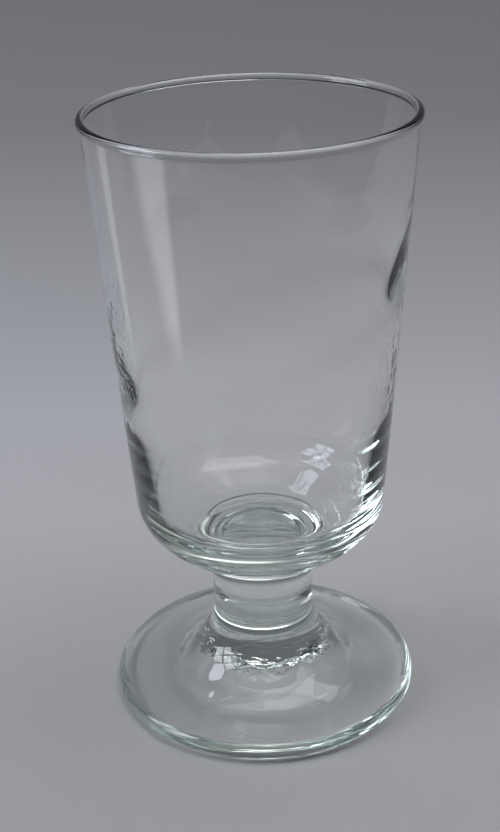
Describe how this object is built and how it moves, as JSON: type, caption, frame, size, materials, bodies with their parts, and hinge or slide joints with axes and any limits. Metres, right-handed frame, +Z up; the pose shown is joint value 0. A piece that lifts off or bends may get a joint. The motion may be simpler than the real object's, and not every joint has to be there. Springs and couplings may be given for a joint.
{
  "type": "drinking glass",
  "caption": "Footed tumbler: a straight-sided, slightly tapered clear glass bowl with a heavy base, on a short solid stem and a round foot.",
  "frame": {"origin": "middle of the flat ring that the foot stands on", "axes": "+Z up along the glass's axis of revolution; X and Y lie in the table plane and are alike"},
  "size_m": [0.077, 0.077, 0.15],
  "materials": {
    "clear_glass": "blown and pressed soda-lime glass, fire-polished, clear with a faint green tint"
  },
  "bodies": {
    "root": {"bowl": "clear_glass", "stem": "clear_glass", "foot": "clear_glass"}
  },
  "joints": []
}
